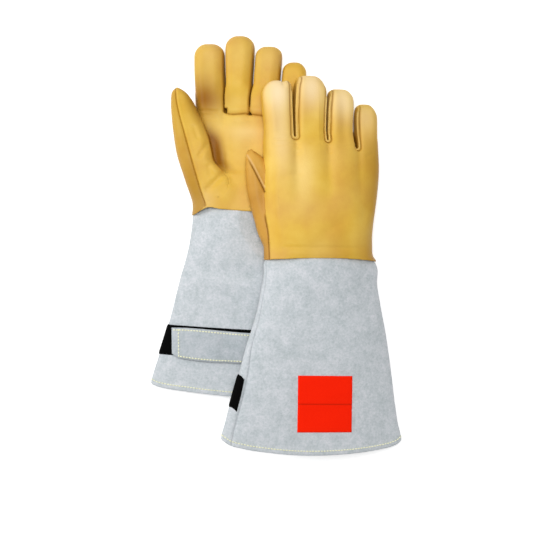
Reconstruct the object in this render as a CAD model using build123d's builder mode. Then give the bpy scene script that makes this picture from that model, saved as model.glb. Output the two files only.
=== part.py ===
from build123d import *
import math
import os
from collections import namedtuple

# A pair of lined leather gauntlet gloves, at real size in millimetres, +Z up.
# The left glove lies palm up on the table, its back pressed flat. The right glove lies palm down
# and leans on it, so the two palms face each other across one sloping plane.
# In each glove's own frame +Y runs to the fingertips, -X is the thumb side, and y = 0 is the wrist seam.

# Driving dimensions: the hand
wrist_half = 53.0
hand_half = 56.0
web_y = 112.0  # where the fingers part
finger_base_y = 88.0  # the finger forms start inside the palm
leather = 1.8
lining = 4.0
lining_ease = 0.15

# Driving dimensions: the cuff
cuff_length = 185.0
cuff_leather = 2.0
hem_left = 99.0
hem_right = 79.0
hem_rise = 8.0  # the hem's corners lie this far above its middle
hem_fold = 12.0  # the edge is turned up inside by this much

# Driving dimensions: strap and tapes
strap_y = -133.5
strap_angle = -3.0
strap_width = 29.0
strap_thickness = 1.8
strap_end = -74.0
tab_length = 46.0
tape_width = 31.0
tape_shift = 2.0  # the tape lies a little nearer the hand than the strap
loop_thickness = 1.0
hook_thickness = 0.8

# Driving dimensions: the label on the right cuff's back
label_width = 52.0
label_height = 54.0
label_x = 4.5
label_y = -139.0
label_thickness = 0.8

# How the two gloves lie
lean = 13.0  # tilt of the right glove about Y, in degrees
offset_x = 71.0
offset_y = -48.0
right_height = 17.0  # height of the right glove's wrist centre above the table
lie_gap = 0.5  # between the left glove's palm side and the sloping plane
finger_low = 0.6  # height of the fingers' undersides in their glove's own frame
finger_bevel = 0.3  # share of a finger's thickness that its edges are bevelled by
thumb_bevel = 0.27
thumb_allowance = 0.6  # the thumb's pieces take this much of the leather round them
lay_gap = 0.1  # between pieces of one glove that are laid on each other
past_end = -1.0  # a cavity's form runs past the open end by this
body_gap = 0.3  # between pieces that move apart
thumb_seam_angle = 14.0  # the long seam up the thumb leans out by this, in degrees

Form = namedtuple("Form", "outline low tops rounding")
Finger = namedtuple("Finger", "name x width tip thickness")
Thumb = namedtuple("Thumb", "tip_x tip_y radius inner_base low thickness")
Glove = namedtuple("Glove", "side hand cuff thumb seam palm_sign")


def plane_through(a, b, c):
    """The plane through three points, its normal up."""
    along, across = Vector(*b) - Vector(*a), Vector(*c) - Vector(*a)
    normal = along.cross(across)
    if normal.Z < 0:
        normal = normal * -1
    return Plane(origin=a, x_dir=along, z_dir=normal)


def slope(x):
    """Height above the table of the plane that the right glove lies on, less the gap under it."""
    return right_height - (x - offset_x) * math.tan(math.radians(lean)) - lie_gap


# Plan outlines, the same for both gloves: left side, then right side, from the wrist
hem_y = -cuff_length - 6  # the cuff's form runs past its hem, and the hem's curve trims it
hand_outline = [((-wrist_half, 0), (-wrist_half, web_y)), ((wrist_half, 0), (hand_half, web_y))]
cuff_outline = [((-wrist_half, 0), (-hem_left - 1.5, hem_y)), ((wrist_half, 0), (hem_right + 1, hem_y))]
fingers = [
    Finger("index", -39.6, 28.2, 166, 24),
    Finger("middle", -8.0, 28.2, 172, 24),
    Finger("ring", 20.8, 26.6, 161, 23),
    Finger("little", 46.2, 21.6, 146, 20),
]

# The left glove: palm up, thick at the thumb, pressed thin where the right glove lies on it
left_peak, left_edge = (-18, 0, 34), (wrist_half, 0, slope(wrist_half))
left_bevel = (-wrist_half, 0, 19)
table = Plane.XY
left_hand = Form(hand_outline, table, [
    plane_through(left_peak, left_edge, (-18, web_y, 30)),
    plane_through(left_peak, left_bevel, (-wrist_half, web_y, 17)),
    plane_through((0, 84, 30), (1, 84, 30), (0, web_y, 17)),
], 6.5)
left_cuff = Form(cuff_outline, table, [
    plane_through(left_peak, left_edge, (hem_right, -cuff_length, 9.5)),
    plane_through(left_peak, left_bevel, (-hem_left, -cuff_length, 9.2)),
    plane_through((0, -50, 26), (1, -50, 26), (0, -cuff_length, 14)),
], 4.2)
# The right glove: palm down on the sloping plane, its cuff standing a little off it for the strap
right_peak, right_left, right_right = (4, 0, 34), (-wrist_half, 0, 25), (wrist_half, 0, 24)
right_under = ((-wrist_half, 0, 0), (wrist_half, 0, -3))
right_hand = Form(hand_outline, plane_through(*right_under, (-wrist_half, web_y, 1)), [
    plane_through(right_peak, right_right, (4, web_y, 32)),
    plane_through(right_peak, right_left, (-wrist_half, web_y, 24)),
    plane_through((0, 84, 31), (1, 84, 31), (0, web_y, 18)),
], 8.5)
right_cuff = Form(cuff_outline, plane_through(*right_under, (-13, -cuff_length, 7)), [
    plane_through(right_peak, right_right, (hem_right, -cuff_length, 20)),
    plane_through(right_peak, right_left, (-hem_left, -cuff_length, 21)),
    plane_through((0, -40, 32), (1, -40, 32), (0, -cuff_length, 24)),
], 5.0)

# The seam between back and palm lies at mid height, and on the cuff it runs nearer to the back
left_seam = ((-wrist_half, 0, 10.0), (wrist_half, 0, 10.6))
right_seam = ((-wrist_half, 0, 14.0), (wrist_half, 0, 9.0))
gloves = [
    Glove("left", left_hand, left_cuff, Thumb(-60.5, 106.0, 13.0, (-24, 34), 11.0, 23.5),
          (plane_through(*left_seam, (0, web_y, 11)), plane_through(*left_seam, (0, -cuff_length, 4.8))), 1),
    Glove("right", right_hand, right_cuff, Thumb(-63.5, 94.0, 9.2, (-40, 40), 1.0, 22.0),
          (plane_through(*right_seam, (0, web_y, 11)), plane_through(*right_seam, (0, -cuff_length, 14))), -1),
]


def padded_form(form, inset, start):
    """A flat-cut outline filled out between a lower plane and several upper ones, its long edges rounded."""
    left, right = ([(x + sign * inset, y) for x, y in side] for side, sign in zip(form.outline, (1, -1)))
    left[0], right[0] = (left[0][0], start), (right[0][0], start)
    shift = math.copysign(inset, left[-1][1]) if form.outline is hand_outline else 0
    left[-1], right[-1] = (left[-1][0], left[-1][1] - shift), (right[-1][0], right[-1][1] - shift)
    with BuildPart() as padded:
        with BuildSketch(Plane.XY.offset(-40)):
            with BuildLine():
                Polyline(*left, *reversed(right), close=True)
            make_face()
        extrude(amount=100)
        split(bisect_by=form.low.offset(inset), keep=Keep.TOP)
        for top in form.tops:
            split(bisect_by=top.offset(-inset), keep=Keep.BOTTOM)
        ends = sorted((start, left[-1][1]))
        long_edges = padded.edges().filter_by(Axis.Z, reverse=True).filter_by(
            lambda e: abs(e.center().X) > wrist_half - 8 and ends[0] + 1 < e.center().Y < ends[1] - 1
            and e.length > 15)
        fillet(long_edges, radius=max(0.6, form.rounding - inset))
    return padded.part


def half_turn(centre, across, ahead):
    """Five points evenly round the end of a finger, from one side over its tip to the other."""
    angles = [math.radians(45 * n) for n in range(5)]
    return [centre + across * math.cos(angle) + ahead * math.sin(angle) for angle in angles]


def finger_form(finger, inset):
    """A finger: a flat-cut outline with a round tip, its edges bevelled. Inside, the tip has straight sides."""
    half = finger.width / 2 - inset
    tip = half_turn(Vector(finger.x, finger.tip - finger.width / 2), Vector(-half, 0), Vector(0, half))
    with BuildPart() as form:
        with BuildSketch(Plane.XY.offset(finger_low + inset)):
            with BuildLine():
                if inset > 0:
                    Polyline(*tip)
                else:
                    ThreePointArc(tip[0], tip[2], tip[4])
                Polyline(tip[4], (finger.x + half, finger_base_y), (finger.x - half, finger_base_y), tip[0])
            make_face()
        extrude(amount=finger.thickness - 2 * inset)
        rims = form.faces().filter_by(Axis.Z).edges().filter_by(lambda e: e.center().Y > finger_base_y + 1)
        chamfer(rims, length=finger_bevel * (finger.thickness - 2 * inset))
    return form.part


def thumb_form(thumb, inset):
    """The thumb: it grows out of the palm's edge and turns along the hand."""
    outer_base = Vector(-wrist_half + 1 + inset, 5 + inset)
    inner_base = Vector(*thumb.inner_base) + Vector(-inset, inset)
    centre = Vector(thumb.tip_x, thumb.tip_y)
    heading = (centre - (outer_base + inner_base) * 0.5).normalized()
    side = Vector(-heading.Y, heading.X)
    radius = thumb.radius - inset
    tip = half_turn(centre, side * radius, heading * radius)
    with BuildPart() as form:
        with BuildSketch(Plane.XY.offset(thumb.low + inset)):
            with BuildLine():
                TangentArc(tip[0], outer_base, tangent=heading * -1)
                if inset > 0:
                    Polyline(*tip)
                else:
                    ThreePointArc(tip[0], tip[2], tip[4])
                TangentArc(tip[4], inner_base, tangent=heading * -1)
                Line(inner_base, outer_base)
            make_face()
        extrude(amount=thumb.thickness - 2 * inset)
        base = (outer_base + inner_base) * 0.5
        rims = form.faces().filter_by(Axis.Z).edges().filter_by(
            lambda e: (Vector((e @ 0.5).X, (e @ 0.5).Y) - base).length > 15)
        chamfer(rims, length=min(thumb_bevel * (thumb.thickness - 2 * inset), 0.7 * radius))
    return form.part


def hand_form(glove, inset, start=0):
    """Palm, fingers and thumb as one form, all drawn in by the same inset."""
    with BuildPart() as form:
        add(padded_form(glove.hand, inset, start))
        for finger in fingers:
            add(finger_form(finger, inset))
        add(thumb_form(glove.thumb, inset))
    return form.part


def shell_between(outer, inner):
    with BuildPart() as shell:
        add(outer)
        add(inner, mode=Mode.SUBTRACT)
    return shell.part


def block(x, y, z):
    """A box between pairs of limits, for cutting regions out of a shell."""
    centre = ((x[0] + x[1]) / 2, (y[0] + y[1]) / 2, (z[0] + z[1]) / 2)
    with BuildPart() as region:
        with Locations(centre):
            Box(x[1] - x[0], y[1] - y[0], z[1] - z[0])
    return region.part


def half_of(shape, plane, keep):
    with BuildPart() as piece:
        add(shape)
        split(bisect_by=plane, keep=keep)
    return piece.part


def cut(shape, keep=(), drop=()):
    """The part of a shape that lies in every keep region and in no drop region."""
    with BuildPart() as piece:
        add(shape)
        for region in keep:
            add(region, mode=Mode.INTERSECT)
        for region in drop:
            add(region, mode=Mode.SUBTRACT)
    with BuildPart() as main:
        add(piece.part.solids().sort_by(SortBy.VOLUME)[-1])
    return main.part


def hem_region(rise):
    """Everything on the hand side of the curved hem line, moved up by rise."""
    with BuildPart() as region:
        with BuildSketch(Plane.XY.offset(-20)):
            with BuildLine():
                ThreePointArc((-hem_left - 20, rise - cuff_length + 1.4 * hem_rise), (0, rise - cuff_length),
                              (hem_right + 30, rise - cuff_length + 1.2 * hem_rise))
                Polyline((hem_right + 30, rise - cuff_length + 1.2 * hem_rise), (hem_right + 30, 0),
                         (-hem_left - 20, 0), (-hem_left - 20, rise - cuff_length + 1.4 * hem_rise))
            make_face()
        extrude(amount=80)
    return region.part


def band(y_shift, width, start, end):
    """A slightly sloping band across the cuff between two distances from its middle line."""
    frame = Plane(origin=(0, strap_y, -20), x_dir=Vector(1, 0, 0).rotate(Axis.Z, strap_angle))
    with BuildPart() as region:
        with BuildSketch(frame):
            with Locations(((start + end) / 2, y_shift)):
                Rectangle(end - start, width)
        extrude(amount=80)
    return region.part


def crotch_x(n):
    """The middle of the gap between finger n and the next."""
    a, b = fingers[n], fingers[n + 1]
    return (a.x + a.width / 2 + b.x - b.width / 2) / 2


def hand_pieces(glove):
    """The leather hand cut into its sewn pieces, and the lining inside it."""
    seam = glove.seam[0]
    back_side, palm_side = (Keep.BOTTOM, Keep.TOP) if glove.palm_sign > 0 else (Keep.TOP, Keep.BOTTOM)
    leather_shell = shell_between(hand_form(glove, 0), hand_form(glove, leather, past_end))
    thumb_region = thumb_form(glove.thumb, -thumb_allowance)
    forks = []
    for n in range(3):
        a, b = fingers[n], fingers[n + 1]
        middle = finger_low + (a.thickness + b.thickness) / 4
        forks.append(block((a.x, b.x), (web_y - 6, min(a.tip, b.tip) - 7), (middle - 4.5, middle + 4.5)))
    base_seam_y = 95
    fronts = {
        "middle": block((crotch_x(0), crotch_x(1)), (base_seam_y, 200), (-20, 80)),
        "ring": block((crotch_x(1), crotch_x(2)), (base_seam_y, 200), (-20, 80)),
    }
    back = half_of(leather_shell, seam, back_side)
    palm = half_of(leather_shell, seam, palm_side)
    thumb_leather = cut(leather_shell, keep=[thumb_region])
    thumb_seam = Plane(origin=(-wrist_half + 12.5, 3, 0), x_dir=(0, 0, 1),
                       z_dir=Vector(-1, 0, 0).rotate(Axis.Z, thumb_seam_angle))
    pieces = {
        "back_panel": cut(back, drop=forks + [thumb_region]),
        "palm_panel": cut(palm, drop=forks + list(fronts.values()) + [thumb_region]),
        "middle_finger_front": cut(palm, keep=[fronts["middle"]], drop=forks),
        "ring_finger_front": cut(palm, keep=[fronts["ring"]], drop=forks),
        "thumb_back": half_of(thumb_leather, thumb_seam, Keep.TOP),
        "thumb_front": half_of(thumb_leather, thumb_seam, Keep.BOTTOM),
        "hand_lining": shell_between(hand_form(glove, leather + lining_ease),
                                     hand_form(glove, leather + lining_ease + lining, past_end)),
    }
    for n, name in enumerate(("index_middle", "middle_ring", "ring_little")):
        pieces[name + "_fourchette"] = cut(leather_shell, keep=[forks[n]])
    return pieces


def cuff_form(glove, inset, start=0.0):
    return padded_form(glove.cuff, inset, start)


def cuff_pieces(glove):
    """The flared cuff's two panels with their turned hem, the strap and the tapes on the palm side."""
    seam = glove.seam[1]
    back_side, palm_side = (Keep.BOTTOM, Keep.TOP) if glove.palm_sign > 0 else (Keep.TOP, Keep.BOTTOM)
    outside = cuff_form(glove, 0)
    wall = shell_between(outside, cuff_form(glove, cuff_leather, -past_end))
    hem_turn = cut(shell_between(outside, cuff_form(glove, 2 * cuff_leather, -past_end)), drop=[hem_region(hem_fold)])
    with BuildPart() as cuff:
        add(wall)
        add(hem_turn)
        add(hem_region(0), mode=Mode.INTERSECT)

    def layer(low, high):
        return half_of(shell_between(cuff_form(glove, -high), cuff_form(glove, -low, -past_end)), seam, palm_side)

    fold_x = strap_end + tab_length
    tape_low = lay_gap
    hook_low = tape_low + loop_thickness + body_gap
    tab_low = hook_low + hook_thickness
    strap_low = tape_low + loop_thickness + lay_gap
    far = hem_right + 20
    pieces = {
        "cuff_back_panel": half_of(cuff.part, seam, back_side),
        "cuff_palm_panel": half_of(cuff.part, seam, palm_side),
        "loop_tape": cut(layer(tape_low, tape_low + loop_thickness), keep=[band(tape_shift, tape_width, -far, far)]),
        "strap": cut(layer(strap_low, strap_low + strap_thickness),
                     keep=[band(0, strap_width, fold_x + body_gap, far)]),
        "strap_tab": cut(layer(tab_low, tab_low + strap_thickness), keep=[band(0, strap_width, strap_end, fold_x)]),
        "hook_tape": cut(layer(hook_low, hook_low + hook_thickness),
                         keep=[band(0, strap_width - 6, strap_end + 6, fold_x - 4)]),
    }
    return pieces


def height_over(plane, x, y):
    """Height of a plane above or below the point x, y."""
    away = (x - plane.origin.X) * plane.z_dir.X + (y - plane.origin.Y) * plane.z_dir.Y
    return plane.origin.Z - away / plane.z_dir.Z


def fold_axis(glove):
    """The line that the strap's free tab turns about: it lies in the outer face of the strap."""
    across = Vector(1, 0, 0).rotate(Axis.Z, strap_angle)
    along = Vector(-across.Y, across.X, 0)
    x = strap_end + tab_length
    fold = Vector(x, strap_y + across.Y / across.X * x, 0)
    faces = glove.cuff.tops if glove.palm_sign > 0 else [glove.cuff.low]
    thickness = lay_gap + loop_thickness + body_gap + hook_thickness + strap_thickness
    ends = []
    for point in (fold - along * (strap_width / 2), fold + along * (strap_width / 2)):
        face = min(faces, key=lambda plane: height_over(plane, point.X, point.Y))
        height = height_over(face, point.X, point.Y) + glove.palm_sign * thickness / face.z_dir.Z
        ends.append(Vector(point.X, point.Y, height))
    return Axis((ends[0] + ends[1]) * 0.5, ends[1] - ends[0])


def label_piece(glove):
    region = block((label_x - label_width / 2, label_x + label_width / 2),
                   (label_y - label_height / 2, label_y + label_height / 2), (8, 60))
    return cut(shell_between(cuff_form(glove, -label_thickness), cuff_form(glove, 0, -past_end)), keep=[region])


pieces = {}
for glove in gloves:
    made = {**hand_pieces(glove), **cuff_pieces(glove)}
    if glove.side == "right":
        made["label"] = label_piece(glove)
    for name, part in made.items():
        pieces[f"{glove.side}_{name}"] = part

lie_right = Location((offset_x, offset_y, right_height + body_gap)) * Location((0, 0, 0), (0, lean, 0))
for name in pieces:
    if name.startswith("right_"):
        pieces[name] = pieces[name].moved(lie_right)

# The origin is the middle of the pair's footprint, on the table
whole = Compound(children=[Part(part.wrapped) for part in pieces.values()]).bounding_box()
to_middle = Location((-whole.center().X, -whole.center().Y, 0))
os.makedirs("parts", exist_ok=True)
for name, part in pieces.items():
    piece = part.moved(to_middle)
    piece.label = name
    export_step(piece, f"parts/{name}.step")

# The sizes and joint axes that describe the pair
print("whole", whole.size, "lowest", whole.min.Z)
for side, frame in (("left", to_middle), ("right", to_middle * lie_right)):
    print(side, "wrist centre", (frame * Location((0, 0, 0))).position)
    fold = fold_axis(gloves[0 if side == "left" else 1])
    start, end = (frame * Location(fold.position)).position, (frame * Location(fold.position + fold.direction)).position
    print(side, "fold axis", start, end - start)
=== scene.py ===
import math
import bmesh
import bpy
import numpy as np
from mathutils import Matrix, Vector


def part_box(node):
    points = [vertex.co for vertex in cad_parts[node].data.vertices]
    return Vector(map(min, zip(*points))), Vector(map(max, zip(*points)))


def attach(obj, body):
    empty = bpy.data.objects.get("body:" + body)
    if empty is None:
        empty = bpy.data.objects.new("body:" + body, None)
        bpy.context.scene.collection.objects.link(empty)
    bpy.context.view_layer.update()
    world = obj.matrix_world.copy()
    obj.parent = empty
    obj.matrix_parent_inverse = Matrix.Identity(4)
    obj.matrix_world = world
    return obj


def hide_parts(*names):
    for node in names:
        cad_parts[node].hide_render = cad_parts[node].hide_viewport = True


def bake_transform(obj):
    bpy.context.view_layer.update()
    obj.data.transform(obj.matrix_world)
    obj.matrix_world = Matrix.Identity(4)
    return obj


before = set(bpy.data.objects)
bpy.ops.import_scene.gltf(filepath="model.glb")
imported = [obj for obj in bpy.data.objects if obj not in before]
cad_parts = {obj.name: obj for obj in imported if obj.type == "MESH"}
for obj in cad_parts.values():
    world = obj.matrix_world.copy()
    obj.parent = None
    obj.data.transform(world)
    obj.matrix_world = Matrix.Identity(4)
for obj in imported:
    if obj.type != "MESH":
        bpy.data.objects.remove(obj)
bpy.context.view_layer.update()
mm = 0.001

# How the pair lies, in millimetres. Each glove's own frame has its origin at the middle of its wrist,
# y to the fingertips and the thumb at -x. The insets run from the left edges of the CAD back panels.
lean = math.radians(13)  # the right glove lies on the left one, its thumb side raised
lying = {
    "left": dict(inset=53.7, height=0.0, turn=0.0),
    "right": dict(inset=46.93, height=17.3, turn=lean),
}
touchX, touchHeight = 71.0, 16.3  # the plane between the gloves passes through this place
place = {}
for side, form in lying.items():
    wrist = Vector((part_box(f"{side}_back_panel")[0].x + form["inset"] * mm,
                    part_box(f"{side}_cuff_back_panel")[1].y, form["height"] * mm))
    place[side] = Matrix.Translation(wrist) @ Matrix.Rotation(form["turn"], 4, "Y") @ Matrix.Scale(mm, 4)
    print(side, "wrist at", wrist)


def restingPlane(x):
    # height of the plane between the gloves, over a place on the left glove
    return touchHeight - (x - touchX) * math.tan(lean)


def along(value, stations):
    # a smooth curve through a few stations (where, size)
    where, size = (np.array(column, float) for column in zip(*stations))
    slopes = np.gradient(size, where)
    value = np.clip(value, where[0], where[-1])
    n = np.clip(np.searchsorted(where, value) - 1, 0, len(where) - 2)
    span = where[n + 1] - where[n]
    t = (value - where[n]) / span
    return (
        (2 * t**3 - 3 * t**2 + 1) * size[n] + (t**3 - 2 * t**2 + t) * span * slopes[n]
        + (3 * t**2 - 2 * t**3) * size[n + 1] + (t**3 - t**2) * span * slopes[n + 1]
    )


def sloped(plane, x, y):
    # height of a plane given by its height at the origin and its rise along x and y
    return plane[0] + plane[1] * x + plane[2] * y


def softStep(value, start, end):
    t = np.clip((value - start) / (end - start), 0, 1)
    return t * t * (3 - 2 * t)


def ridge(distance, width):
    return np.exp(-(distance / width) ** 2)


def hump(x, y, centre, reach):
    return np.exp(-(((x - centre[0]) / reach[0]) ** 2 + ((y - centre[1]) / reach[1]) ** 2))


def spotsOf(spots, x, y):
    # the sum of soft spots, each given by its amount, centre and reach
    total = 0
    for amount, centre, reach in spots:
        total = total + amount * hump(x, y, centre, reach)
    return total


def runDistance(x, y, start, end):
    # plan distance to a straight run, and how far along it the nearest point is
    dx, dy = end[0] - start[0], end[1] - start[1]
    t = np.clip(((x - start[0]) * dx + (y - start[1]) * dy) / (dx * dx + dy * dy), 0, 1)
    return np.hypot(x - start[0] - t * dx, y - start[1] - t * dy), t


def waves(x, y, length, seed):
    # gentle unevenness between -1 and 1, about one swell for each length
    random = np.random.default_rng(seed)
    count, gain = 6, 1.6
    total = 0
    for n in range(count):
        angle, phase = random.uniform(0, math.pi), random.uniform(0, 2 * math.pi)
        pitch = length * random.uniform(0.7, 1.6) / (2 * math.pi)
        total = total + np.sin((x * math.cos(angle) + y * math.sin(angle)) / pitch + phase)
    return total / count * gain


def softMin(a, b, blend):
    h = np.maximum(blend - np.abs(a - b), 0) / blend
    return np.minimum(a, b) - h * h * blend / 4


def lowest(fields):
    result = fields[0]
    for field in fields[1:]:
        result = np.minimum(result, field)
    return result


def slabField(plan, z, low, high, rounding):
    # distance to a pad with a round rim, from its plan distance and its two heights
    half = np.maximum((high - low) / 2, 0.5)
    reach = np.minimum(rounding, half)
    outPlan = plan + reach
    outHeight = np.abs(z - (low + high) / 2) - (half - reach)
    outside = np.hypot(np.maximum(outPlan, 0), np.maximum(outHeight, 0))
    return outside + np.minimum(np.maximum(outPlan, outHeight), 0) - reach


def skinOf(field, corner, step):
    # one vertex in each cell that the skin crosses, and a quad round each crossed grid edge
    cellShape = [n - 1 for n in field.shape]
    inside = field < 0
    count = np.zeros(cellShape, np.int8)
    corners = [(i, j, k) for i in (0, 1) for j in (0, 1) for k in (0, 1)]
    for i, j, k in corners:
        count += inside[i:i + cellShape[0], j:j + cellShape[1], k:k + cellShape[2]]
    crossed = (count > 0) & (count < 8)
    cells = np.argwhere(crossed)
    index = np.full(cellShape, -1, np.int64)
    index[crossed] = np.arange(len(cells))
    total, hits = np.zeros((len(cells), 3)), np.zeros(len(cells))
    for a in corners:
        for axis in range(3):
            if a[axis]:
                continue
            b = tuple(v + (n == axis) for n, v in enumerate(a))
            low = field[tuple((cells + a).T)]
            high = field[tuple((cells + b).T)]
            cut = (low < 0) != (high < 0)
            spot = np.tile(np.array(a, float), (len(cells), 1))
            spot[:, axis] += np.where(cut, low / np.where(cut, low - high, 1), 0)
            total[cut] += spot[cut]
            hits[cut] += 1
    points = np.array(corner) + (cells + total / hits[:, None]) * step
    faces = []
    for axis in range(3):
        u, v = (axis + 1) % 3, (axis + 2) % 3
        ahead = tuple(slice(1, None) if n == axis else slice(None) for n in range(3))
        behind = tuple(slice(None, -1) if n == axis else slice(None) for n in range(3))
        spots = np.argwhere(inside[behind] != inside[ahead])
        keep = (spots[:, u] > 0) & (spots[:, v] > 0)
        keep &= (spots[:, u] < cellShape[u]) & (spots[:, v] < cellShape[v])
        spots = spots[keep]
        quad = []
        for du, dv in ((-1, -1), (0, -1), (0, 0), (-1, 0)):
            cell = spots.copy()
            cell[:, u] += du
            cell[:, v] += dv
            quad.append(index[tuple(cell.T)])
        quad = np.stack(quad, 1)
        outward = inside[tuple(spots.T)]
        quad[~outward] = quad[~outward][:, ::-1]
        faces.append(quad)
    return points, np.concatenate(faces)


def addObject(name, data):
    made = bpy.data.objects.new(name, data)
    bpy.context.scene.collection.objects.link(made)
    return made


def meshPiece(name, points, faces, side, material, marks=None):
    # a smooth mesh object from points in a glove's own frame; its marks tell the material where to change
    mesh = bpy.data.meshes.new(name)
    mesh.from_pydata([tuple(p) for p in points], [], [tuple(int(i) for i in f) for f in faces])
    for mark, values in (marks or {}).items():
        layer = mesh.attributes.new(mark, "FLOAT", "POINT")
        layer.data.foreach_set("value", np.asarray(values, np.float32))
    mesh.transform(place[side])
    mesh.shade_smooth()
    mesh.materials.append(material)
    return addObject(name, mesh)


def ringPiece(name, side, rings, material, marks=None):
    # a closed shape over rings of points, one after another, its two ends filled
    rings = np.asarray(rings)
    count = rings.shape[1]
    faces = []
    for first in range(0, (len(rings) - 1) * count, count):
        for k in range(count):
            after = (k + 1) % count
            faces.append((first + k, first + after, first + count + after, first + count + k))
    last = (len(rings) - 1) * count
    faces += [range(count)[::-1], range(last, last + count)]
    piece = meshPiece(name, rings.reshape(-1, 3), faces, side, material, marks)
    shape = bmesh.new()
    shape.from_mesh(piece.data)
    if shape.calc_volume(signed=True) < 0:  # the rings ran the other way round
        bmesh.ops.reverse_faces(shape, faces=shape.faces)
    shape.to_mesh(piece.data)
    shape.free()
    piece.data.shade_smooth()
    return piece


def hexColour(code):
    # sRGB hex to the linear values that shaders take
    parts = [int(code[n:n + 2], 16) / 255 for n in (1, 3, 5)]
    return [c / 12.92 if c <= 0.04045 else ((c + 0.055) / 1.055) ** 2.4 for c in parts] + [1]


def addNode(tree, kind, inputs=None, stops=(), **settings):
    # one node with its settings, the colour stops of a ramp, and its values and links
    made = tree.nodes.new(kind)
    for key, value in settings.items():
        setattr(made, key, value)
    for n, (position, code) in enumerate(stops):
        elements = made.color_ramp.elements
        element = elements[n] if n < len(elements) else elements.new(position)
        element.position, element.color = position, hexColour(code)
    for key, value in (inputs or {}).items():
        if isinstance(value, bpy.types.NodeSocket):
            tree.links.new(value, made.inputs[key])
        else:
            made.inputs[key].default_value = value
    return made


def newMaterial(name, finish):
    # an empty material whose shader has a finish that is the same all over
    material = bpy.data.materials.new(name)
    material.use_nodes = True
    tree = material.node_tree
    shader = tree.nodes["Principled BSDF"]
    for key, value in finish.items():
        shader.inputs[key].default_value = value
    return material, tree, shader


def cover(tree, shader, colour, height, strength, depth):
    # a shader's colour, and the relief that its surface has
    tree.links.new(colour, shader.inputs["Base Color"])
    bump = addNode(tree, "ShaderNodeBump", {"Height": height, "Strength": strength, "Distance": depth * mm})
    tree.links.new(bump.outputs["Normal"], shader.inputs["Normal"])


def tinted(tree, base, mark, code):
    # a colour that turns to another one where the piece's mark says so
    amount = addNode(tree, "ShaderNodeAttribute", attribute_name=mark).outputs["Fac"]
    mixed = addNode(tree, "ShaderNodeMix", {"Factor": amount, "A": base, "B": hexColour(code)},
                    data_type="RGBA")
    return next(socket for socket in mixed.outputs if socket.type == "RGBA")


def grainLeather(name, stops, highlightColour, shadeColour):
    # smooth tumbled cowhide: soft sheen, cloudy dye, fine pebbled grain that hardly shows
    form = dict(cloud=45.4545, grain=1.3, pore=3.2)
    material, tree, shader = newMaterial(name, {"Roughness": 0.46, "IOR": 1.47, "Specular IOR Level": 0.2})
    spot = addNode(tree, "ShaderNodeTexCoord").outputs["Object"]
    cloud = addNode(tree, "ShaderNodeTexNoise", {"Vector": spot, "Scale": 1 / (form["cloud"] * mm),
                                                 "Detail": 4, "Roughness": 0.55})
    dyed = addNode(tree, "ShaderNodeValToRGB", {"Fac": cloud.outputs["Fac"]}, stops=stops).outputs["Color"]
    # the piece's marks paint highlights and shade over the dyed colour
    marked = tinted(tree, tinted(tree, dyed, "paintedHighlight", highlightColour), "paintedShade", shadeColour)
    grain = addNode(tree, "ShaderNodeTexVoronoi", {"Vector": spot, "Scale": 1 / (form["grain"] * mm)})
    pores = addNode(tree, "ShaderNodeTexNoise", {"Vector": spot, "Scale": 1 / (form["pore"] * mm),
                                                 "Detail": 5})
    height = addNode(tree, "ShaderNodeMath", {0: grain.outputs["Distance"], 1: pores.outputs["Fac"]},
                     operation="ADD")
    cover(tree, shader, marked, height.outputs[0], 0.16, 0.4)
    return material


def splitLeather(name, low, middle, high):
    # cowhide split, brushed to a nap: matt, mottled, a soft rim of light on the fibres
    form = dict(patch=12.5, fibre=2.2, fibreShare=0.8, offset=0.4)
    material, tree, shader = newMaterial(name, {"Roughness": 0.95, "Specular IOR Level": 0.15,
                                                "Sheen Weight": 0.25, "Sheen Roughness": 0.6})
    spot = addNode(tree, "ShaderNodeTexCoord").outputs["Object"]
    patches = addNode(tree, "ShaderNodeTexNoise", {"Vector": spot, "Scale": 1 / (form["patch"] * mm),
                                                   "Detail": 8, "Roughness": 0.8})
    fibres = addNode(tree, "ShaderNodeTexNoise", {"Vector": spot, "Scale": 1 / (form["fibre"] * mm),
                                                  "Detail": 6, "Roughness": 0.7})
    both = addNode(tree, "ShaderNodeMath", {0: fibres.outputs["Fac"], 1: form["fibreShare"],
                                            2: patches.outputs["Fac"]}, operation="MULTIPLY_ADD")
    tone = addNode(tree, "ShaderNodeMath", {0: both.outputs[0], 1: form["offset"]}, operation="SUBTRACT")
    mottled = addNode(tree, "ShaderNodeValToRGB", {"Fac": tone.outputs[0]},
                      stops=[(0.3, low), (0.5, middle), (0.7, high)])
    cover(tree, shader, mottled.outputs["Color"], fibres.outputs["Fac"], 0.5, 0.5)
    return material


def plainCloth(name, low, high, pitch, strength, roughness, lineColour=None):
    # woven or brushed textile whose pattern is about one pitch across, in millimetres
    material, tree, shader = newMaterial(name, {"Roughness": roughness, "Specular IOR Level": 0.06})
    spot = addNode(tree, "ShaderNodeTexCoord").outputs["Object"]
    fuzz = addNode(tree, "ShaderNodeTexNoise", {"Vector": spot, "Scale": 1 / (pitch * mm), "Detail": 5})
    woven = addNode(tree, "ShaderNodeValToRGB", {"Fac": fuzz.outputs["Fac"]},
                    stops=[(0.35, low), (0.65, high)]).outputs["Color"]
    if lineColour:
        woven = tinted(tree, woven, "line", lineColour)
    cover(tree, shader, woven, fuzz.outputs["Fac"], strength, 0.5)
    return material


# For each leather: the colour stops of its dye, then the colours of its painted highlight and its painted
# shade
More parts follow.
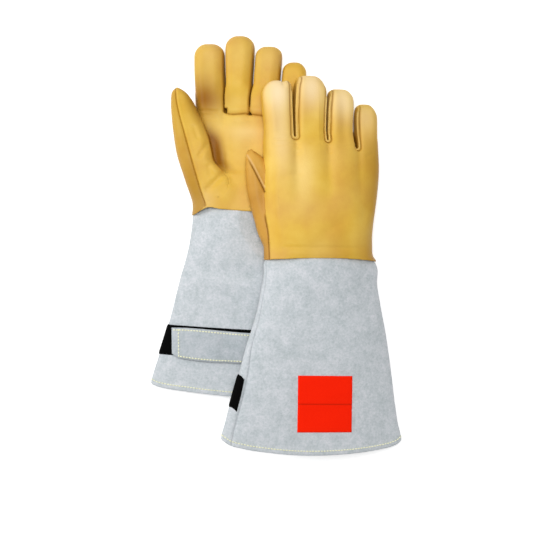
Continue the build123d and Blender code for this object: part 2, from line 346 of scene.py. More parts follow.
handLeather = grainLeather("goldGrainCowhide", [(0.3, "#D6A236"), (0.5, "#E0B43E"), (0.7, "#E8C250")],
                           "#FCE2B4", "#945E00")
# a darker copy of the gold leather: painted shade for the right thumb, which lies low beside and partly under
# the hand
shadedLeather = grainLeather("shadedGoldGrainCowhide", [(0.3, "#B98128"), (0.5, "#C89236"), (0.7, "#D3A045")],
                           "#E8C48A", "#7A4A0E")
weltLeather = grainLeather("paleGoldGrainCowhide", [(0.3, "#E2B458"), (0.5, "#EBC36A"), (0.7, "#F0CF80")],
                           "#F4DCB4", "#A86A14")
suede = splitLeather("splitCowhideSuede", "#AFB8BB", "#C2C8CC", "#D4D6DB")
strapSuede = splitLeather("strapCowhideSuede", "#A2ABAF", "#B3BABF", "#C5C8CD")
fleece = plainCloth("creamFleece", "#CFC8B4", "#EAE6D8", 1.6, 0.6, 0.95)
tapeNylon = plainCloth("blackNylonLoop", "#010101", "#050505", 0.8, 0.8, 0.85)
threadPolyester = plainCloth("paleYellowThread", "#EFEEBC", "#FAF9DC", 0.5, 0.3, 0.6)
labelCloth = plainCloth("redLabelTwill", "#FA1C00", "#FF2400", 0.7, 0.25, 0.7, "#A81800")
print("materials done")


# Each hand in its glove's own frame: edges and lines are (y, x) stations, heights are (y, z), and soft spots
# in its form, in its painted highlights or in its painted shade are (amount, centre, reach).
# Each finger: where its tip ends, its thickness, the tip's slope and corner radius on its two sides, and
# where the highlight painted on its tip lies. Each gap between two fingers: its middle line, the crotch it
# ends in, how far its strip reaches on the two sides, and its half width.
evenGap = dict(reach=(2, 2), half=[(90, 0.5), (165, 0.5)])
hands = {
    "left": dict(
        fingers=[
            dict(tip=164.4, thick=24.0, slope=(-0.6, -0.8), corner=(12.0, 11.5), tipHighlight=-37),
            dict(tip=172.4, thick=24.0, slope=(-1.0, -1.0), corner=(12.5, 13.0), tipHighlight=-7),
            dict(tip=162.0, thick=22.5, slope=(-1.2, -0.4), corner=(10.5, 11.0), tipHighlight=21),
            dict(tip=146.8, thick=19.5, slope=(-0.4, -1.6), corner=(10.0, 10.0), tipHighlight=47),
        ],
        gaps=[
            dict(evenGap, line=[(90, -21.2), (110, -21.8), (140, -22.8), (165, -23.0)], crotch=96.5),
            dict(evenGap, line=[(90, 3.8), (102, 3.6), (125, 4.6), (150, 6.2), (175, 7.0)], crotch=94.5),
            dict(evenGap, line=[(86, 30.2), (110, 31), (126, 31.8), (150, 33.6), (165, 34.2)], crotch=91.5),
        ],
        gapSlant=0.2, gapShare=0.2, fingerRound=0.42, overlap=0.35, tipHighlight=0.12,
        leftFinger=[(70, -47), (90, -47.6), (100, -48.4), (108, -49.2), (125, -50.8), (145, -52.0),
                    (170, -52.0)],
        rightFinger=[(0, 50), (20, 50.5), (60, 54.0), (88, 57), (105, 58.4), (120, 58.8), (150, 59.2)],
        leftEdge=[(-8, -52.6), (10, -50), (60, -50), (90, -48.8), (107, -48.8), (120, -49.2)],
        rightEdge=[(-8, 54), (20, 53), (60, 56), (120, 58.3)],
        top=[(-8, 30.5), (20, 31.0), (55, 30.0), (80, 27.6), (91, 24.4), (100, 25.4), (120, 24.0)],
        crown=(-4, 8.0),
        low=(0.4, 0.0, 0.0),
        pads=[(-3.0, (-10, 46), (20, 22)), (1.8, (4, 80), (26, 10)), (-0.9, (6, 60), (30, 12))],
        paintedHighlight=[(0.3, (-2, 76), (22, 13)), (0.2, (-38, 10), (10, 14))],
        paintedShade=[(0.5, (-44, 112), (14, 28)), (0.45, (-36, 108), (20, 14)), (0.8, (-20, 97), (1.6, 2.2))],
        thumb=dict(
            outer=[(-8, -51.6), (-3, -51.3), (3, -50.8), (8, -51.8), (12, -53.6), (20, -57.2), (36, -62.6),
                   (51, -67.4), (75, -71.6), (93, -73.6), (104, -74.2), (115, -73.6), (124, -71.5)],
            inner=[(-8, -14), (20, -12), (30, -15), (37, -21), (46, -30.0), (58, -33.4), (71, -36.6),
                   (81, -40.6), (96, -47.4), (106, -52.4), (114, -58), (124, -66)],
            seam=[(-8, -36.5), (2, -39), (18.4, -44.5), (34, -49.1), (49.6, -53.5), (65, -57.7), (79, -61.6),
                  (93, -65.5), (107, -68.4), (120, -69.6)],
            low=[(-8, 0.5), (20, 1.5), (50, 5.0), (86, 10), (122, 15)],
            top=[(-8, 24), (8, 28), (26, 31.5), (50, 34.2), (75, 34.4), (100, 31.5), (122, 27)],
            tip=121.3, corner=(8.0, 9.0), rounding=11.0, blend=[(0, 9), (24, 9), (38, 2.4), (130, 2.2)],
        ),
        wristLine=[(-58, -5.6), (-52, -4.8), (-45, -1.2), (-39, 1.7), (-26, 0.5), (5, -1.9), (60, -2.8)],
        seamHeight=10.5, palmUp=True, forkMiddle=10.0, forkHalf=4.5,
    ),
    "right": dict(
        fingers=[
            dict(tip=172.0, thick=24.5, slope=(-0.8, 0.2), corner=(13.5, 5.5), tipHighlight=-45),
            dict(tip=177.6, thick=24.5, slope=(-0.4, -4.0), corner=(6.0, 13.0), tipHighlight=-11),
            dict(tip=165.6, thick=23.5, slope=(-0.3, -4.0), corner=(6.0, 10.0), tipHighlight=20),
            dict(tip=152.0, thick=20.5, slope=(-0.6, -4.5), corner=(6.0, 9.5), tipHighlight=46),
        ],
        gaps=[
            dict(line=[(108, -27.2), (125, -27.6), (150, -27.8), (162, -27.4), (176, -26.4)],
                 crotch=118.0, reach=(3.6, 3.9),
                 half=[(108, 0.5), (148, 0.65), (158, 1.0), (166, 1.5), (172, 2.6), (178, 3.6)]),
            dict(line=[(106, 4.8), (130, 5.2), (148, 5.9), (158, 7.0), (166, 7.8), (180, 8.0)],
                 crotch=115.2, reach=(2.7, 3.3), half=[(106, 0.5), (148, 0.6), (160, 1.0), (170, 1.8)]),
            dict(line=[(98, 35.6), (107, 35.2), (125, 34.4), (140, 34.8), (150, 35.8), (165, 36)],
                 crotch=108.4, reach=(1.0, 3.3),
                 half=[(98, 0.5), (106, 0.9), (125, 1.1), (143, 1.0), (155, 1.6)]),
        ],
        gapSlant=0.0, gapShare=1.0, fingerRound=0.36, overlap=0.3, tipHighlight=0.85,
        leftFinger=[(60, -52), (90, -53.6), (105, -53.8), (118, -54.4), (130, -55.2), (143, -57.0),
                    (156, -58.2), (175, -58.0)],
        rightFinger=[(0, 48), (34, 50), (60, 55.0), (90, 58.4), (118, 58.2), (134, 58.4), (150, 58.2)],
        leftEdge=[(-8, -51.0), (8, -51.6), (26, -54.0), (41, -56.6), (57, -58.4), (72, -58.2), (87, -56.2),
                  (103, -54.4), (112, -54), (120, -54.4)],
        rightEdge=[(-8, 58.6), (-1, 57.8), (1.5, 55.8), (4, 54.6), (12, 53.8), (18, 53.4), (34, 54.6),
                   (49, 56.6), (72, 59.0), (87, 59.8), (118, 58.0)],
        top=[(-8, 32.6), (20, 33.4), (60, 33.0), (85, 31.2), (104, 28.2), (120, 25.8)],
        crown=(-6, 9.0),
        low=(-1.2, -0.028, 0.008),
        pads=[(-2.0, (44, 62), (12, 34)), (-0.8, (-22, 84), (8, 18))],
        paintedHighlight=[(0.35, (-42, 118), (9, 34)), (0.2, (-20, 80), (12, 26))],
        paintedShade=[(0.2, (10, 0), (60, 22)), (0.3, (18, 132), (4, 22))],
        thumb=dict(
            outer=[(-8, -52.6), (6, -52.9), (12, -54.0), (15, -56.0), (19, -58.4), (37, -64.4), (54, -69.2),
                   (74, -72.6), (92, -73.2), (106, -71.6)],
            inner=[(-8, -30), (40, -33), (54, -37), (74, -46), (92, -53.5), (108, -63)],
            seam=[(-8, -50), (50, -52), (65, -57), (71.3, -60), (83, -65.8), (95.9, -72.0), (106, -76)],
            low=[(-8, 0.4), (106, 1.5)],
            top=[(-8, 22), (30, 21), (60, 20), (92, 18.5), (106, 15)],
            tip=106.0, corner=(5.5, 11.0), rounding=8.5, blend=[(0, 8), (20, 5), (50, 2.0), (120, 1.6)],
        ),
        wristLine=[(-58, -1.4), (-30, -0.1), (0, 0.4), (30, -0.5), (50, -2.1), (60, -3.1)],
        seamHeight=11.0, palmUp=False, forkMiddle=15.5, forkHalf=11.5,
    ),
}
# Pressed lines in the leather: start, end, depth (a ridge where it is below 0), half width
creases = {
    "left": [
        ((-50, 97.5), (-24, 95.8), 0.8, 1.4), ((-50, 93), (-30, 92.4), 0.5, 1.4),
        ((-44, 90), (-26, 88), 0.5, 2.2), ((-36, 67), (-48, 48), 1.1, 2.6), ((-52, 84), (-46, 66), 0.7, 2.2),
        ((-37, 46), (-34, 30), 0.9, 3.0), ((-20, 37), (-37, 20), 1.8, 3.6), ((-10, 30), (-30, 14), 0.7, 4.0),
        ((-14, 84), (8, 88), 0.6, 3.0), ((-19.6, 98.5), (-20.0, 96.5), 3.0, 1.3),
    ],
    "right": [
        ((-53, 113.2), (-30, 114.2), 0.75, 1.3), ((-53, 108.6), (-29, 109.4), 0.6, 1.4),
        ((-50, 121.5), (-34, 122), 0.35, 1.3), ((-17, 111.5), (0, 111), 0.5, 1.5),
        ((12, 108.5), (31, 108), 0.55, 1.4), ((13, 113), (30, 113.5), 0.4, 1.3),
        ((-20, 105), (-30, 98), 0.5, 2.0), ((-45, 77), (-18, 83), 0.5, 2.6), ((-6, 22), (26, 40), 0.5, 5.0),
        ((38, 32), (54, 74), 0.7, 5.5), ((-50, 11), (50, 10), 0.6, 1.6), ((-50, 5.0), (51, 4.4), -0.6, 3.2),
        ((42, 98), (54, 104), 0.5, 2.0), ((-27, 112), (-24, 104), 0.7, 2.2), ((5, 110), (6, 100), 0.7, 2.4),
    ],
}
shortCrease = 1.2  # lines pressed less deep than this run out at their ends
slantHeight = 21.0  # where slanted gaps between the fingers stand at their middle lines
thumbReach = 0.4  # how far the thumb's pieces reach past its own form
leatherThick, liningThick, liningGap = 1.9, 3.6, 0.25
palmForm = dict(end=121.0, corner=(10, 10), rounding=13.0)
hollow = dict(depth=12.0, width=11.0, foldShade=1.1)  # beside the left thumb, with how much shade is painted in the fold there
knuckles = dict(middles=(-40, -10, 21, 47), heights=(1.1, 1.1, 1.1, 0.7), width=9.5, dip=1.8, dipWidth=5.5)
fingerForm = dict(low=0.7, tipDrop=3.2, bulge=0.35, swell=0.35, ripple=0.3, merge=7.0, notch=2.4)
thumbSeam = dict(depth=0.9, width=0.8, welt=0.35, weltAway=2.2, weltWidth=1.2)
frontSeam = dict(depth=1.5, width=1.5, pad=0.7, padAway=4.5, padWidth=3.0)
rightSeams = dict(side=0.8, sideWidth=0.9, fork=0.9, forkWidth=0.8)
rightSideSeam = [(-8, -45.9), (2, -46.2), (26, -47.6), (41, -50.0), (50, -49.4), (60, -46), (90, -44)]
frontBase = [(-23, 96), (-18, 94), (0, 93.8), (6, 93.2), (20, 91.6), (36, 90.2)]  # (x, y) across the palm
gridStep = 0.85
gridLow, gridHigh = np.array([-80.0, -7.0, -4.0]), np.array([64.0, 182.0, 38.0])


def edgeDistance(x, y, left, right, end, corners):
    # plan distance to a shape between two edges that ends at y = end, its far corners rounded
    half, middle = (right - left) / 2, (right + left) / 2
    radius = np.where(x < middle, corners[0], corners[1])
    a, b = np.abs(x - middle) - half + radius, y - end + radius
    return np.hypot(np.maximum(a, 0), np.maximum(b, 0)) + np.minimum(np.maximum(a, b), 0) - radius


def slantOf(side, z):
    # the left glove's fingers lean on each other, so their gaps aren't upright
    return hands[side]["gapSlant"] * (slantHeight - z)


def gapsOf(side, x, y, z):
    # for each gap: how far aside a spot is, the half width there, how far below the crotch, and the reaches
    flare = 0.4 + 0.6 * softStep(z, 8, 20)
    return [(x - along(y, gap["line"]) - slantOf(side, z), along(y, gap["half"]) * flare,
             gap["crotch"] - y, gap["reach"]) for gap in hands[side]["gaps"]]


def bordersOf(side, x, y, z, thumbSide):
    # the lines that part the panels; each is below 0 inside the panel it is named for
    hand = hands[side]
    seam = z - hand["seamHeight"]
    palm = -seam if hand["palmUp"] else seam
    inThumb = thumbSide - thumbReach
    if side == "right":
        # the back panel ends at a straight side seam, and the strip beyond it belongs to palm and thumb
        sideSeam = x * math.cos(lean) + z * math.sin(lean) - along(y, rightSideSeam)
        palm = np.minimum(palm, sideSeam + 20 * softStep(y, 42, 58))
        front = np.minimum(inThumb, np.maximum(y - 20, x + 34))
        inThumb = np.where(y < 84, np.maximum(front, np.minimum(sideSeam, seam) - 0.2), inThumb)
    walls = []
    for away, half, below, (before, behind) in gapsOf(side, x, y, z):
        reach = before + (behind - before) * softStep(away, -1.5, 1.5)
        walls.append(np.hypot(np.maximum(below, 0) * 1.1, away) - half - reach)
    forkLine = lowest(walls)
    fork = np.maximum(forkLine, np.abs(z - hand["forkMiddle"]) - hand["forkHalf"])
    base = along(x, frontBase) - y
    first, second, third = (along(y, gap["line"]) for gap in hand["gaps"])
    return dict(palm=palm, thumb=inThumb, seamX=x - along(y, hand["thumb"]["seam"]), fork=fork,
                forkLine=forkLine, base=base, within=np.maximum(first - x, x - third),
                middleFront=np.maximum(np.maximum(first - x, x - second), base),
                ringFront=np.maximum(np.maximum(second - x, x - third), base))


def palmTop(side, x, y):
    # height of the broad part of the hand, with its pads, hollows and gentle unevenness
    hand = hands[side]
    peak, fall = hand["crown"]
    reach = np.maximum(along(y, hand["rightEdge"]) - along(y, hand["leftEdge"]), 1) / 2
    top = along(y, hand["top"]) - fall * np.abs((x - peak) / reach) ** 2.2 + spotsOf(hand["pads"], x, y)
    if side == "left":
        # the palm's hollow runs beside the thumb, under its folded edge
        away = np.maximum(x - along(y, hand["thumb"]["inner"]) - 1, 0)
        share = softStep(y, 34, 46) * (1 - softStep(y, 74, 98))
        top = top - hollow["depth"] * share * np.exp(-(away / hollow["width"]) ** 1.5)
    else:
        fade = softStep(y, 40, 100) * (1 - softStep(y, 118, 135))
        for middle, height in zip(knuckles["middles"], knuckles["heights"]):
            top = top + height * fade * ridge(x - middle, knuckles["width"])
        for gap in hand["gaps"]:
            top = top - knuckles["dip"] * fade * ridge(x - gap["line"][0][1], knuckles["dipWidth"])
    return top + 0.4 * waves(x, y, 60, 4) + 0.2 * waves(x, y, 24, 6)


def fingersField(side, x, y, z):
    # distance to the four padded fingers
    hand = hands[side]
    lines = [along(y, gap["line"]) + slantOf(side, z) for gap in hand["gaps"]]
    lines = [along(y, hand["leftFinger"])] + lines + [along(y, hand["rightFinger"])]
    halves = [0] + [along(y, gap["half"]) * hand["gapShare"] for gap in hand["gaps"]] + [0]
    fingers = []
    for n, finger in enumerate(hand["fingers"]):
        bulge = fingerForm["bulge"] * np.sin((y - 92) / 13.0 + n) * softStep(y, 112, 125)
        start, end = lines[n] + halves[n] - bulge, lines[n + 1] - halves[n + 1] + bulge
        across = (x - (start + end) / 2) / np.maximum((end - start) / 2, 1)
        tip = finger["tip"] + np.where(across < 0, finger["slope"][0], finger["slope"][1]) * across**2
        if side == "right" and n == 0:
            tip = tip - 1.3 * ridge(x + 38.5, 2.2)  # a nick in the index finger's end seam
        tipDrop = fingerForm["tipDrop"] * softStep(y, finger["tip"] - 34, finger["tip"] + 4)
        ripple = fingerForm["ripple"] * np.sin((y - 100) / 9.0 + 2 * n) * softStep(y, 105, 120)
        top = finger["thick"] - tipDrop + fingerForm["swell"] * waves(x, y, 34, 9) + ripple
        fingers.append(slabField(edgeDistance(x, y, start, end, tip, finger["corner"]), z,
                                 fingerForm["low"] + 0.4 * tipDrop, fingerForm["low"] + top,
                                 hand["fingerRound"] * finger["thick"]))
    return lowest(fingers)


def handField(side, x, y, z):
    # outside distance of the whole padded hand, how far a spot belongs to the thumb, and the panels' borders
    hand, form = hands[side], hands[side]["thumb"]
    plan = edgeDistance(x, y, along(y, hand["leftEdge"]), along(y, hand["rightEdge"]), palmForm["end"],
                        palmForm["corner"])
    field = slabField(plan, z, sloped(hand["low"], x, y), palmTop(side, x, y), palmForm["rounding"])
    field = softMin(field, fingersField(side, x, y, z), fingerForm["merge"])
    slots = [np.hypot(np.maximum(below, 0), away) - half for away, half, below, _ in gapsOf(side, x, y, z)]
    field = -softMin(-field, lowest(slots), fingerForm["notch"])
    outer, inner = along(y, form["outer"]), along(y, form["inner"])
    thumbTop = along(y, form["top"]) - 0.06 * np.maximum(outer + 14 - x, 0) + 0.4 * waves(x, y, 26, 21)
    thumb = slabField(edgeDistance(x, y, outer, inner, form["tip"], form["corner"]), z, along(y, form["low"]),
                      thumbTop, form["rounding"])
    thumbSide = thumb - field
    whole = softMin(field, thumb, along(y, form["blend"]))
    above = softStep(z, hand["seamHeight"] + 2, hand["seamHeight"] + 7)
    for start, end, depth, width in creases[side]:
        distance, t = runDistance(x, y, start, end)
        ends = softStep(t, 0, 0.25) * (1 - softStep(t, 0.75, 1)) if depth < shortCrease else 1
        whole = whole + depth * ridge(distance, width) * ends * above
    parts = bordersOf(side, x, y, z, thumbSide)
    onThumb = (thumbSide < 2) * above * (1 - softStep(y, form["tip"] - 9, form["tip"] - 3))
    whole = whole + thumbSeam["depth"] * ridge(parts["seamX"], thumbSeam["width"]) * onThumb
    welt = ridge(parts["seamX"] - thumbSeam["weltAway"], thumbSeam["weltWidth"])
    whole = whole - thumbSeam["welt"] * welt * onThumb
    if side == "left":
        bay = softStep(-parts["within"], -1, 2) * above
        whole = whole + frontSeam["depth"] * ridge(parts["base"], frontSeam["width"]) * bay
        pad = ridge(parts["base"] + frontSeam["padAway"], frontSeam["padWidth"])
        whole = whole - frontSeam["pad"] * pad * bay
        # pressed flat where the other glove and the table touch it
        whole = np.maximum(whole, (z - restingPlane(x)) * math.cos(lean) + 0.25)
        whole = np.maximum(whole, 0.3 - z)
    else:
        sideSeam = ridge(parts["palm"], rightSeams["sideWidth"]) * (1 - softStep(y, 38, 44))
        whole = whole + rightSeams["side"] * sideSeam * softStep(z, 8, 12)
        forkSeam = ridge(parts["forkLine"], rightSeams["forkWidth"])
        whole = whole + rightSeams["fork"] * forkSeam * softStep(z, 14, 19)
    return whole, thumbSide, parts


def handMarks(side, points):
    # painted highlights on the finger tips, the palm and the welt beside the right thumb's seam, and painted
    # shade in the seams, the folds, between the fingers and on the sides that turn from the light
    hand = hands[side]
    x, y, z = points.T
    thumbSide, parts = handField(side, x, y, z)[1:]
    # painted highlight spots, over a slight random paleness
    paintedHighlight = 0.06 * (waves(x, y, 40, 3) + 1) + spotsOf(hand["paintedHighlight"], x, y)
    # a painted highlight on each finger tip
    for finger, share in zip(hand["fingers"], (1.0, 0.9, 0.7, 0.45)):
        paintedHighlight = paintedHighlight + hand["tipHighlight"] * share * hump(x, y, (finger["tipHighlight"], finger["tip"] - 12), (12, 19))
    # the painted highlights lie only on the upper faces, where the light falls
    paintedHighlight = paintedHighlight * softStep(z, 12, 20)
    # soft spots of painted shade
    paintedShade = spotsOf(hand["paintedShade"], x, y)
    seamLine = ridge(parts["seamX"], 0.9) * (thumbSide < 1)
    if side == "left":
        seamLine = np.maximum(seamLine, ridge(parts["base"], 1.1) * (parts["within"] < 0))
        # painted shade in the fold beside the left thumb, which the thumb keeps from the light
        inner = along(y, hand["thumb"]["inner"])
        fold = softStep(y, 32, 50) * (1 - softStep(y, 62, 92)) * softStep(x, inner - 2, inner)
        paintedShade = paintedShade + hollow["foldShade"] * fold * (1 - softStep(x, inner + 2, inner + 17))
        # painted shade on the thumb's strip outside its seam, which turns down from the light, more towards
        # the wrist, and a slight darkening all over the left glove
        outside = (parts["seamX"] < 0) * (thumbSide < 1)
        paintedShade = paintedShade + 0.1 + (0.28 + 0.25 * (1 - softStep(y, 10, 60))) * outside
    else:
        # a painted highlight on the welt beside the right thumb's seam
        beside = ridge(parts["seamX"] - 1.5, 0.8) * (thumbSide < 1) * (y < 100)
        paintedHighlight = np.maximum(paintedHighlight, 0.5 * beside)
        seamLine = np.maximum(seamLine, ridge(parts["palm"], 0.9) * (1 - softStep(y, 38, 44)))
        seamLine = np.maximum(seamLine, 0.9 * ridge(parts["forkLine"], 0.8))
        # painted shade on the right hand's right side, which turns from the light, and on the right side of
        # its middle finger
        paintedShade = paintedShade + 0.62 * softStep(x, 26, 60) * (1 - 0.7 * softStep(y, 96, 135))
        paintedShade = paintedShade + 0.3 * hump(x, y, (-6, 134), (4, 26)) * (x > -4)
    # painted shade in the seam grooves, on the upper faces
    paintedShade = np.maximum(paintedShade, 0.75 * seamLine * softStep(z, 12, 17))
    # painted shade between the fingers
    for away, half, below, _ in gapsOf(side, x, y, z):
        between = np.exp(-np.maximum(np.hypot(np.maximum(below, 0), away) - half, 0) / 1.2)
        paintedShade = np.maximum(paintedShade, 0.85 * between)
    return {"paintedHighlight": np.clip(paintedHighlight, 0, 1), "paintedShade": np.clip(paintedShade, 0, 1)}


def handPieces(side):
    # the leather panels of one hand, cut from its skin along the seams, and the fleece inside them;
    # the panels overlap a little inside the pressed seams, so that no light shows through
    hand = hands[side]
    axes = [np.arange(a, b, gridStep) for a, b in zip(gridLow, gridHigh)]
    x, y, z = np.meshgrid(*axes, indexing="ij", sparse=True)
    whole, _, parts = handField(side, x, y, z)
    wrist = along(x, hand["wristLine"]) - y
    shell = np.maximum(np.maximum(whole, -(whole + leatherThick)), wrist)
    palm, thumb, fork = parts["palm"], parts["thumb"], parts["fork"]
    regions = {
        "back_panel": [-palm, -thumb, -fork],
        "palm_panel": [palm, -thumb, -fork, -parts["middleFront"], -parts["ringFront"]],
        "middle_finger_front": [palm, -fork, parts["middleFront"]],
        "ring_finger_front": [palm, -fork, parts["ringFront"]],
        "fourchettes": [fork],
        "thumb_back": [thumb, parts["seamX"]],
        "thumb_front": [thumb, -parts["seamX"]],
    }
    for name, limits in regions.items():
        field = shell
        for limit in limits:
            field = np.maximum(field, limit - hand["overlap"])
        nodes = [f"{side}_{name}"]
        if name == "fourchettes":
            nodes = [f"{side}_{pair}_fourchette" for pair in ("index_middle", "middle_ring", "ring_little")]
        points, faces = skinOf(field, gridLow, gridStep)
        # the right thumb lies low beside and partly under the hand, so its leather is the darker copy: painted
        # shade
        inShade = side == "right" and name.startswith("thumb")
        piece = meshPiece(f"{side}_{name}_leather", points, faces, side, shadedLeather if inShade else handLeather,
                          handMarks(side, points))
        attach(piece, f"{side}_glove")
        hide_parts(*nodes)
        print(side, name, len(faces))
    inner = whole + leatherThick + liningGap
    lining = np.maximum(np.maximum(inner, -(inner + liningThick)), wrist + 1.5)
    points, faces = skinOf(lining[::2, ::2, ::2], gridLow, gridStep * 2)
    piece = meshPiece(f"{side}_hand_fleece", points, faces, side, fleece)
    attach(piece, f"{side}_glove")
    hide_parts(f"{side}_hand_lining")


def surfaceTop(side, x, y):
    # the highest place of the hand over each plan spot
    step = 0.4
    levels = np.arange(38.0, 2.0, -step)
    whole = handField(side, x[:, None], y[:, None], levels[None, :])[0]
    first = np.clip(np.argmax(whole < 0, axis=1), 1, None)
    rows = np.arange(len(x))
    above, under = whole[rows, first - 1], whole[rows, first]
    return levels[first - 1] - step * above / np.where(above - under, above - under, 1)


def tubePiece(name, side, path, radius, material):
    # a cord along a path, its ends tapered and closed
    ahead = np.gradient(path, axis=0)
    ahead /= np.maximum(np.linalg.norm(ahead, axis=1, keepdims=True), 1e-9)
    across = np.cross(ahead, [0, 0, 1.0])
    across /= np.maximum(np.linalg.norm(across, axis=1, keepdims=True), 1e-9)
    up = np.cross(across, ahead)
    turns = np.linspace(0, 2 * math.pi, 8, endpoint=False)[None, :, None]
    fromEnd = np.minimum(np.arange(len(path)), np.arange(len(path))[::-1])
    taper = np.sqrt(np.clip(fromEnd / 3.0 + 0.15, 0, 1))[:, None, None]
    circle = across[:, None] * np.cos(turns) + up[:, None] * np.sin(turns)
    return ringPiece(name, side, path[:, None] + radius * taper * circle, material)


def gapWelts(side):
    # a rolled welt down one side of each finger gap, round its crotch and up the other side
    form = dict(radius=0.85, away=1.6, share=0.45, bend=3.0, lift=0.1)
    hand = hands[side]
    for n, gap in enumerate(hand["gaps"]):
        tips = [hand["fingers"][n + 1]["tip"] - 8, hand["fingers"][n]["tip"] - 9]
        low = gap["crotch"] + 1
        down = np.arange(tips[0], low, -1.0)
        up = np.arange(low, min(tips) if gap["reach"][0] > 1.5 else low + 6, 1.0)
        leftAway, rightAway = (min(form["away"], reach * form["share"]) for reach in gap["reach"])
        right = along(down, gap["line"]) + along(down, gap["half"]) + rightAway
        left = along(up, gap["line"]) - along(up, gap["half"]) - leftAway
        around = np.linspace(0, math.pi, 9)[1:-1]
        centre, radius = (right[-1] + left[0]) / 2, (right[-1] - left[0]) / 2
        x = np.concatenate([right, centre + radius * np.cos(around), left])
        y = np.concatenate([down, low - form["bend"] * np.sin(around), up])
        smooth = np.convolve(np.pad(surfaceTop(side, x, y), 3, "edge"), np.ones(7) / 7, "valid")
        path = np.stack([x, y, smooth + form["lift"]], 1)
        welt = tubePiece(f"{side}_gap_welt_{n + 1}", side, path, form["radius"], weltLeather)
        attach(welt, f"{side}_glove")


for side in ("left", "right"):
    handPieces(side)
gapWelts("right")
print("hands done")


# Each flared cuff in its glove's own frame: edges, heights and seam insets are (y, size), the hem is (x, y).
cuffs = {
    "left": dict(
        left=[(-196, -100), (-168, -94.7), (-141, -86.4), (-109, -76.6), (-69, -66.4), (-37, -57.6),
              (-13, -53.8), (-3, -52.8), (3, -49.2), (12, -48)],
        right=[(-196, 81.5), (-173, 79.4), (-141, 75.5), (-103, 70.5), (-64, 63.4), (-26, 57.3), (-6, 54.6),
               (3, 50.6), (12, 49.5)],
        top=[(-196, 13.6), (-150, 15.4), (-100, 19.6), (-50, 25.4), (-12, 29.4), (-2, 29.2), (3, 28.0),
             (12, 27.6)],
        fall=[(-196, 4.5), (-60, 5), (-12, 8), (-2, 9.5), (12, 10)], peak=-0.1,
        level=[(-196, 5.2), (-60, 8.0), (12, 10.5)], low=(0.9, 0.0, 0.0),
        hem=[(-102, -169.5), (-96, -172.6), (-91, -174.6), (-84, -176.2), (-61, -179.4), (-34, -182.6),
             (0, -185.2), (40, -183.6), (66, -180.2), (76, -177), (83, -173)],
        seamLeft=[(-196, 8.0), (12, 7.0)], seamRight=[(-196, 8.0), (12, 7.0)], leftSeamAbove=False,
    ),
    "right": dict(
        left=[(-196, -100), (-172, -98.4), (-154, -93.6), (-135, -88.0), (-108, -80.0), (-80, -72.0),
              (-60, -65.2), (-31, -58.4), (-20, -56.4), (-12, -55.6), (-3, -55.2), (3, -50.2), (12, -49.2)],
        right=[(-196, 86), (-174, 82.6), (-163, 79.8), (-141, 76.2), (-112, 72.6), (-74, 66.9), (-42, 60.8),
               (-26, 58.2), (-5, 57.0), (3, 51.0), (12, 49)],
        top=[(-196, 24.2), (-150, 26.2), (-100, 29.0), (-50, 31.6), (-12, 32.4), (-2, 31.8), (3, 30.4),
             (12, 30)],
        fall=[(-196, 5), (-60, 5.5), (-12, 8.5), (-2, 10.5), (12, 11)], peak=-0.1,
        level=[(-196, 14.5), (12, 12.5)], low=(-1.3, -0.0283, -0.044),
        hem=[(-103, -171), (-97.5, -174), (-91, -178), (-78.6, -181.6), (-54, -186), (-27.5, -189.2),
             (7.4, -190.4), (38, -189.2), (61.7, -186.8), (72, -185), (79, -182.6), (84, -179.4), (91, -173)],
        seamLeft=[(-196, 10.8), (-143, 9.2), (-110, 7.2), (-88, 3.8), (-62, 2.3), (-40, 1.2), (12, 0.3)],
        seamRight=[(-196, 5.0), (-143, 5.5), (-115, 5.5), (-60, 4.0), (12, 4.0)], leftSeamAbove=True,
    ),
}
cuffThick = 2.1
cuffTop, cuffHem = 7.0, -178.0  # where the panels start inside the hand, and about where their hem is
hemTurn = 12.0
squareness = 2.8


def cuffPoint(side, t, y):
    # the cuff's outer face: t goes round it, 0 at the right edge, over the top to the left edge
    form = cuffs[side]
    c, s = np.cos(t), np.sin(t)
    across, rise = np.sign(c) * np.abs(c) ** (2 / squareness), np.sign(s) * np.abs(s) ** (2 / squareness)
    left, right = along(y, form["left"]), along(y, form["right"])
    x = (left + right) / 2 + (right - left) / 2 * across
    top = along(y, form["top"]) - along(y, form["fall"]) * (across - form["peak"]) ** 2
    top = top + 0.55 * waves(x, y, 75, 31) + 0.22 * waves(x, y, 26, 32)
    if side == "left":
        # a fold across the cuff, and the room that the glove on top of it takes
        top = top - 1.6 * ridge(y + 62 + 0.12 * x, 7.0) + 0.8 * ridge(y + 76 + 0.12 * x, 8.0)
        top = np.minimum(top, restingPlane(x) - 4.6)
    else:
        top = top + spotsOf([(-0.9, (48, -30), (14, 20)), (0.7, (52, -62), (12, 26))], x, y)
    low = sloped(form["low"], x, y)
    level = along(y, form["level"])
    z = level + np.where(rise > 0, top - level, level - low) * rise
    return np.stack(np.broadcast_arrays(x, y, z), -1)


def cuffNormal(side, t, y):
    turn, step = 0.01, 0.5
    over = cuffPoint(side, t + turn, y) - cuffPoint(side, t - turn, y)
    down = cuffPoint(side, t, y - step) - cuffPoint(side, t, y + step)
    normal = np.cross(over, down)
    return normal / np.maximum(np.linalg.norm(normal, axis=-1, keepdims=True), 1e-9)


def overCuff(side, t, y, lift):
    # points lifted off the cuff's outer face
    return cuffPoint(side, t, y) + cuffNormal(side, t, y) * lift


def hemY(side, t):
    x = cuffPoint(side, t, np.full(np.shape(t), cuffHem))[..., 0]
    return along(x, cuffs[side]["hem"])


def seamTurn(side, y):
    # where the left and the right side seam run, as turns round the cuff
    form = cuffs[side]
    half = (along(y, form["right"]) - along(y, form["left"])) / 2
    left, right = (np.arccos((1 - along(y, form[seam]) / half) ** (squareness / 2))
                   for seam in ("seamLeft", "seamRight"))
    return math.pi + (-left if form["leftSeamAbove"] else left), -right


def lengthsOf(path):
    # how far along a path each of its points is
    return np.concatenate([[0], np.cumsum(np.linalg.norm(np.diff(path, axis=0), axis=1))])


